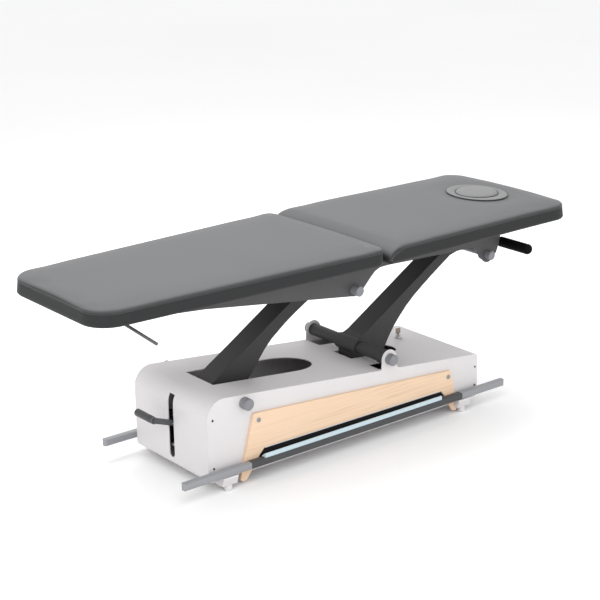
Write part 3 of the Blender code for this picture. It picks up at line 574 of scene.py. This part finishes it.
def stitches(name, ob, path, body, gap=0.0085, length=0.0050, r=0.0005, mat=None):
    """Small raised threads along a list of (origin outside, direction inwards) rays."""
    pts = []
    for o, d in path:
        h = surface_point(ob, o, d)
        if h:
            pts.append(h)
    bm = bmesh.new()
    acc, want = 0.0, 0.0
    for (p, n), (q, m) in zip(pts, pts[1:]):
        seg = (q - p).length
        if seg > 0.05 or seg < 1e-6:
            continue
        d = (q - p) / seg
        while want <= acc + seg:
            c = p + d * (want - acc) + n * (r * 0.5)
            side = d.cross(n).normalized()
            place = Matrix((d, side, n)).transposed().to_4x4()
            place.translation = c
            bmesh.ops.create_icosphere(bm, subdivisions=1, radius=1.0,
                                       matrix=place @ Matrix.Diagonal((length / 2, r * 1.5, r, 1)))
            want += gap
        acc += seg
    if not bm.verts:
        bm.free()
        return None
    st = new_obj(name, bm, mat or THREAD)
    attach(st, body)
    return st


def outline_rays(half, x0, x1, z, inset_x, step=0.003, ends=(True, True)):
    """Rays at a constant height along the near and far sides of the outline."""
    xs = np.arange(x0 + 0.0005, x1, step)
    near = [((x, -0.5, z), (0, 1, 0)) for x in xs]
    far = [((x, 0.5, z), (0, -1, 0)) for x in xs[::-1]]
    return near, far


def ring_rays(cx, cy, poly, z):
    out = []
    n = len(poly)
    for i in range(n):
        a, b, c = poly[i - 1], poly[i], poly[(i + 1) % n]
        d = Vector((c[0] - a[0], c[1] - a[1], 0)).normalized()
        o = Vector((d.y, -d.x, 0))
        out.append(((b[0] + o.x * 0.03, b[1] + o.y * 0.03, z), (-o.x, -o.y, 0)))
    return out


def dense(poly, step=0.003, closed=True):
    out = []
    m = len(poly)
    for i in range(m if closed else m - 1):
        a, b = Vector(poly[i]), Vector(poly[(i + 1) % m])
        k = max(1, int((b - a).length / step))
        for j in range(k):
            out.append(tuple(a.lerp(b, j / k)))
    return out


leg_poly = [(x, -leg_half(x, 0.0)) for x in
            [-1.0199, -1.019, -1.016, -1.012, -1.005, -0.995, -0.985, -0.970, -0.955, -0.940, -0.930]
            + list(np.linspace(-0.92, 0.075, 60)) + [0.080, 0.085, 0.090, 0.094, 0.097, 0.0985, 0.0994]]
leg_poly = leg_poly + [(x, -y) for x, y in leg_poly[::-1]]
for k, dz in enumerate((0.0066, 0.0122)):
    z = PAD_TOP - ROUND - dz + 0.0045
    rays = [q for q in ring_rays(0, 0, dense(leg_poly), z) if q[0][0] < 0.108]   # none inside the joint
    stitches("stitch_leg_%d" % k, leg, rays, "leg_section")

head_poly = [(x, -head_half(x, 0.0)) for x in
             list(np.linspace(0.160, 0.915, 60)) + [0.93, 0.9375, 0.945, 0.96, 0.975, 0.985, 0.995, 1.004, 1.010, 1.0155,
                                                   1.0185, 1.0199]]
head_poly = head_poly + [(x, -y) for x, y in head_poly[::-1]]
for k, dz in enumerate((0.0066, 0.0122)):
    z = PAD_TOP - ROUND - dz + 0.0045
    stitches("stitch_head_%d" % k, head, ring_rays(0, 0, dense(head_poly, closed=False), z), "head_section")
    # the seam follows the nose on both side panels
    off = 0.0130 + dz - 0.0045
    for s in (-1, 1):
        path = []
        for t in np.linspace(0, 88, 34):
            a = math.radians(t)
            nx, nz = -math.cos(a) / 0.071, math.sin(a) / 0.045
            ln = math.hypot(nx, nz)
            o = off * min(1.0, 0.55 + t / 140.0)
            path.append(((0.1785 - 0.071 * math.cos(a) - nx / ln * o, s * 0.5,
                          0.689 + 0.045 * math.sin(a) - nz / ln * o), (0, -s, 0)))
        stitches("stitch_nose_%d_%s" % (k, "near" if s < 0 else "far"), head, path, "head_section")

# vertical corner seams at the foot end and head end
for ob, x, half, body, tag in ((leg, -0.962, leg_half, "leg_section", "leg"), (head, 0.972, head_half, "head_section", "head")):
    for s in (-1, 1):
        path = [((x, s * 0.5, z), (0, -s, 0)) for z in np.linspace(0.7165, 0.681, 16)]
        # painted shade: the corner seams take the darker leather copy of the side band
        stitches("seam_%s_%s" % (tag, "near" if s < 0 else "far"), ob, path, body, gap=0.0036, length=0.0036, r=0.0005,
                 mat=PAINTED_SHADE_LEATHER)

# ---------------------------------------------------------------- face plug


def ellipse_stack(name, c, rings, mat, seg=96):
    bm = bmesh.new()
    loops = []
    for a, b, z, p in rings:
        loop = []
        for i in range(seg):
            t = 2 * math.pi * i / seg
            ct, st = math.cos(t), math.sin(t)
            y = math.copysign(abs(st) ** p, st)
            loop.append(bm.verts.new((c[0] + a * ct, c[1] + b * y, z)))
        loops.append(loop)
    for l0, l1 in zip(loops, loops[1:]):
        for i in range(seg):
            j = (i + 1) % seg
            bm.faces.new((l0[i], l0[j], l1[j], l1[i]))
    bm.faces.new(loops[0])
    top = bm.verts.new((c[0], c[1], rings[-1][2] + 0.0003))
    for i in range(seg):
        bm.faces.new((loops[-1][i], loops[-1][(i + 1) % seg], top))
    return new_obj(name, bm, mat)


A, B, T = 0.094, 0.121, PAD_TOP
LA, LB = 0.080, 0.084
plug = ellipse_stack("plug_cover", (0.836, 0.0), [
    (A - 0.002, B - 0.002, 0.6785, 1), (A - 0.0008, B - 0.0008, 0.6830, 1), (A - 0.0008, B - 0.0008, T + 0.0010, 1),
    (A + 0.0062, B + 0.0062, T + 0.0014, 1), (A + 0.0078, B + 0.0078, T + 0.0028, 1),
    (A + 0.0076, B + 0.0076, T + 0.0046, 1), (A + 0.0058, B + 0.0058, T + 0.0058, 1),
    (A - 0.0010, B - 0.0010, T + 0.0064, 1), (A - 0.0040, B - 0.0060, T + 0.0060, 1),
    (LA + 0.0030, LB + 0.0060, T + 0.0058, 1.05), (LA + 0.0010, LB + 0.0020, T + 0.0036, 1.15),
    (LA - 0.0004, LB, T + 0.0042, 1.2), (LA - 0.0020, LB - 0.0022, T + 0.0078, 1.2),
    (LA - 0.0070, LB - 0.0070, T + 0.0100, 1.2), (LA - 0.022, LB - 0.018, T + 0.0114, 1.15),
    (LA - 0.045, LB - 0.040, T + 0.0122, 1.1), (0.012, 0.008, T + 0.0126, 1.0)], M["plug_leather"])


def ellipse_cord(name, c, a, b, z, r, power, mat, seg=128, side=8):
    """Thin cord laid round an ellipse."""
    bm = bmesh.new()
    pts = []
    for i in range(seg):
        t = 2 * math.pi * i / seg
        st = math.sin(t)
        pts.append(Vector((c[0] + a * math.cos(t), c[1] + b * math.copysign(abs(st) ** power, st), z)))
    loops = []
    for i in range(seg):
        d = (pts[(i + 1) % seg] - pts[i - 1]).normalized()
        out = Vector((d.y, -d.x, 0))
        loops.append([bm.verts.new(pts[i] + out * (r * math.cos(2 * math.pi * k / side))
                                   + Vector((0, 0, r * math.sin(2 * math.pi * k / side)))) for k in range(side)])
    for i in range(seg):
        l0, l1 = loops[i], loops[(i + 1) % seg]
        for k in range(side):
            j = (k + 1) % side
            bm.faces.new((l0[k], l1[k], l1[j], l0[j]))
    return new_obj(name, bm, mat)


# painted shade: thin cords in the darker leather round the plug's rim and its leaf seam, standing in for the shaded
# gap between plug and pad and the shade in the seam
for tag, a, b, z, rad, power in (("rim", A + 0.0080, B + 0.0080, T + 0.0044, 0.0013, 1.0),
                                 ("leaf", LA + 0.0006, LB + 0.0010, T + 0.0058, 0.0011, 1.17)):
    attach(ellipse_cord("plug_shade_cord_" + tag, (0.836, 0.0), a, b, z, rad, power, PAINTED_SHADE_LEATHER), "face_plug_body")
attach(plug, "face_plug_body")
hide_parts("face_plug")

# -------------------------------------------------------------------- grips


def lathe(name, start, direction, profile, mat, seg=48):
    """Solid of revolution from start along direction; profile is (distance, radius)."""
    n = Vector(direction).normalized()
    q = Vector((0, 0, 1)).rotation_difference(n).to_matrix()
    bm = bmesh.new()
    loops = []
    for dist, rad in profile:
        loops.append([bm.verts.new(Vector(start) + q @ Vector((rad * math.cos(2 * math.pi * i / seg),
                                                               rad * math.sin(2 * math.pi * i / seg), dist)))
                      for i in range(seg)])
    for l0, l1 in zip(loops, loops[1:]):
        for i in range(seg):
            j = (i + 1) % seg
            bm.faces.new((l0[i], l0[j], l1[j], l1[i]))
    bm.faces.new(loops[0])
    bm.faces.new(loops[-1])
    return new_obj(name, bm, mat, True, 50)


def rounded_rod(length, r, end_r, flare=0.0, ribs=()):
    prof = [(0.0, r - 0.0025), (0.0008, r - 0.0008), (0.0025, r)]
    for at in ribs:
        prof += [(at - 0.0012, r), (at - 0.0005, r - 0.0009), (at + 0.0005, r - 0.0009), (at + 0.0012, r)]
    prof.append((length - end_r, r + flare))
    for i in range(1, 9):
        a = math.pi / 2 * i / 8
        prof.append((length - end_r + end_r * math.sin(a), max(r - end_r, 0.0) + flare * math.cos(a)
                     + min(end_r, r) * math.cos(a) + 0.0004))
    return prof


grip = lathe("head_grip_cover", (0.775, -0.1902, 0.602), (0, -1, 0),
             rounded_rod(0.1520, 0.0190, 0.0160, 0.0, (0.008, 0.014)), M["grip_rubber"])
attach(grip, "head_lever")
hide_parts("head_release_grip")
pgrip = lathe("pedal_grip_cover", (-0.657, 0.0013, 0.211), (0, 1, 0),
              rounded_rod(0.1000, 0.0128, 0.0090, 0.0004, (0.012, 0.018)), PEDAL_GRIP)
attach(pgrip, "pedal")
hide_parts("pedal_grip")

# small brackets that carry the release levers under the boards


def lever_bracket(name, x, y, z, inner, half_x, body):
    """U bracket: a base plate against the board, two cheeks and the heads of the pin."""
    bm = bmesh.new()
    t, top = 0.0025, PAD_BOT - 0.0004
    wide = inner + t
    bmesh.ops.create_cube(bm, size=1.0, matrix=Matrix.Translation((x, y, top - t / 2))
                          @ Matrix.Diagonal((half_x * 2.3, wide * 2 + 0.008, t, 1)))
    for s in (-1, 1):
        y0 = y + s * inner
        outline = [(x - half_x, top - t + 0.0002), (x + half_x, top - t + 0.0002)]
        for k in range(9):
            a = math.radians(20 + 140 * k / 8)
            outline.append((x + 0.0095 * math.cos(a), z - 0.0095 * math.sin(a)))
        a_ring = [bm.verts.new((px, y0, pz)) for px, pz in outline]
        b_ring = [bm.verts.new((px, y0 + s * t, pz)) for px, pz in outline]
        n = len(outline)
        for i in range(n):
            j = (i + 1) % n
            bm.faces.new((a_ring[i], a_ring[j], b_ring[j], b_ring[i]))
        bm.faces.new(a_ring)
        bm.faces.new(b_ring)
        turn = Matrix.Rotation(math.radians(90), 4, "X")
        bmesh.ops.create_cone(bm, cap_ends=True, segments=20, radius1=0.0048, radius2=0.0048, depth=0.0030,
                              matrix=Matrix.Translation((x, y0 + s * (t + 0.0012), z)) @ turn)
    ob = new_obj(name, bm, PLATE, True, 35)
    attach(ob, body)
    return ob


lever_bracket("leg_lever_bracket", -0.800, 0.0, 0.660, 0.0165, 0.015, "leg_section")
for tag, y in (("near", -0.150), ("far", 0.150)):
    lever_bracket("head_lever_bracket_" + tag, 0.745, y, 0.655, 0.0072, 0.017, "head_section")

# pale lip along the top of each light recess
for tag, s in (("near", -1), ("far", 1)):
    bm = bmesh.new()
    y0, y1 = s * 0.2192, s * 0.2246
    vs = []
    for x, z in ((-0.3610, 0.1060), (0.4470, 0.1015)):
        vs.append([bm.verts.new((x, y, z + dz)) for y, dz in ((y0, 0.0), (y1, 0.0), (y1, -0.0028), (y0, -0.0028))])
    for i in range(4):
        j = (i + 1) % 4
        bm.faces.new((vs[0][i], vs[0][j], vs[1][j], vs[1][i]))
    bm.faces.new(vs[0])
    bm.faces.new(vs[1])
    lip = new_obj("light_lip_" + tag, bm, M["casing_white"], False)
    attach(lip, "base")

# ------------------------------------------------------------------- screws


def screw(name, pos, normal, r, mat, body, h=0.0016):
    n = Vector(normal).normalized()
    q = Vector((0, 0, 1)).rotation_difference(n).to_matrix().to_4x4()
    bm = bmesh.new()
    seg = 24
    prof = [(r, 0.0), (r, h * 0.45), (r * 0.82, h * 0.9), (r * 0.5, h), (r * 0.40, h), (r * 0.36, h * 0.25)]
    loops = []
    for k, (rad, z) in enumerate(prof):
        loops.append([bm.verts.new((rad * math.cos(2 * math.pi * i / seg), rad * math.sin(2 * math.pi * i / seg), z))
                      for i in range(seg)])
    for l0, l1 in zip(loops, loops[1:]):
        for i in range(seg):
            j = (i + 1) % seg
            bm.faces.new((l0[i], l0[j], l1[j], l1[i]))
    bm.faces.new(loops[-1])
    bm.faces.new(loops[0][::-1])
    ob = new_obj(name, bm, mat, True, 40)
    ob.matrix_world = Matrix.Translation(Vector(pos)) @ q
    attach(ob, body)
    return ob


for tag, s in (("near", -1), ("far", 1)):
    for i, (x, z) in enumerate(((-0.386, 0.211), (0.486, 0.148))):
        screw("wood_screw_%s_%d" % (tag, i), (x, s * 0.22505, z), (0, s, 0), 0.0085, M["end_grey"], "base", 0.0035)
    for i, (x, z) in enumerate(((-0.5665, 0.252), (-0.5665, 0.081), (0.632, 0.149), (0.631, 0.077))):
        screw("casing_screw_%s_%d" % (tag, i), (x, s * 0.21455, z), (0, s, 0), 0.0040, SCREW, "base", 0.0018)
for i, t in enumerate((0.06, 0.52)):
    p = Vector((-0.586, -0.0070, 0.185)).lerp(Vector((-0.500, -0.0070, 0.141)), t)
    screw("pedal_bolt_%d" % i, p, (0, -1, 0), 0.0050, M["steel_zinc"], "pedal", 0.0030)

# -------------------------------------------------------------------- stage
bm = bmesh.new()
bmesh.ops.create_grid(bm, x_segments=1, y_segments=1, size=40.0)
floor_mat, nt, b = node_mat("floor")
no = tex_noise(nt, 0.5, 2.0)
r = ramp(nt, no.outputs["Fac"], [(0.3, (0.925, 0.925, 0.928)), (0.7, (0.94, 0.94, 0.943))])
nt.links.new(r.outputs["Color"], b.inputs["Base Color"])
b.inputs["Roughness"].default_value = 0.9
b.inputs["Specular IOR Level"].default_value = 0.1
floor = new_obj("floor", bm, floor_mat)
floor.location.z = -0.0005

bpy.context.scene.view_settings.view_transform = "Standard"
world = bpy.data.worlds.new("studio")
bpy.context.scene.world = world
world.use_nodes = True
bg = world.node_tree.nodes["Background"]
bg.inputs["Color"].default_value = (1.0, 1.0, 1.0, 1.0)
bg.inputs["Strength"].default_value = 1.0


def area(name, loc, target, size, power, color=(1, 1, 1), glossy=True):
    l = bpy.data.lights.new(name, "AREA")
    l.shape = "RECTANGLE"
    l.size, l.size_y = size
    l.energy = power
    l.color = color
    o = link(bpy.data.objects.new(name, l))
    o.location = loc
    o.visible_glossy = glossy
    o.rotation_euler = (Vector(target) - Vector(loc)).to_track_quat("-Z", "Y").to_euler()
    return o


area("key", (-1.8, -2.6, 3.4), (0, 0, 0.4), (2.6, 2.6), 44)
area("top", (0.6, 1.2, 3.6), (0, 0, 0.5), (3.4, 2.4), 60)
area("front", (-3.4, -1.2, 1.4), (0, 0, 0.3), (1.8, 1.6), 16)
area("low", (0.9, -3.6, 1.15), (0.2, 0, 0.3), (2.8, 0.7), 12)
area("back", (0.5, 3.4, 1.25), (0.1, 0, 0.25), (3.0, 0.9), 42, glossy=False)

cam = bpy.data.cameras.new("camera")
cam.sensor_width = 36.0
cam.lens = 96.88
cam.clip_start, cam.clip_end = 0.1, 200
co = link(bpy.data.objects.new("camera", cam))
yaw, pitch, roll = math.radians(38.469), math.radians(18.164), math.radians(-0.759)
d = Vector((math.sin(yaw) * math.cos(pitch), math.cos(yaw) * math.cos(pitch), -math.sin(pitch)))
r0 = Vector((math.cos(yaw), -math.sin(yaw), 0))
u0 = r0.cross(d)
rr = r0 * math.cos(roll) + u0 * math.sin(roll)
uu = -r0 * math.sin(roll) + u0 * math.cos(roll)
mw = Matrix((rr, uu, -d)).transposed().to_4x4()
mw.translation = Vector((-3.3791, -4.2221, 2.2674))
co.matrix_world = mw
bpy.context.scene.camera = co
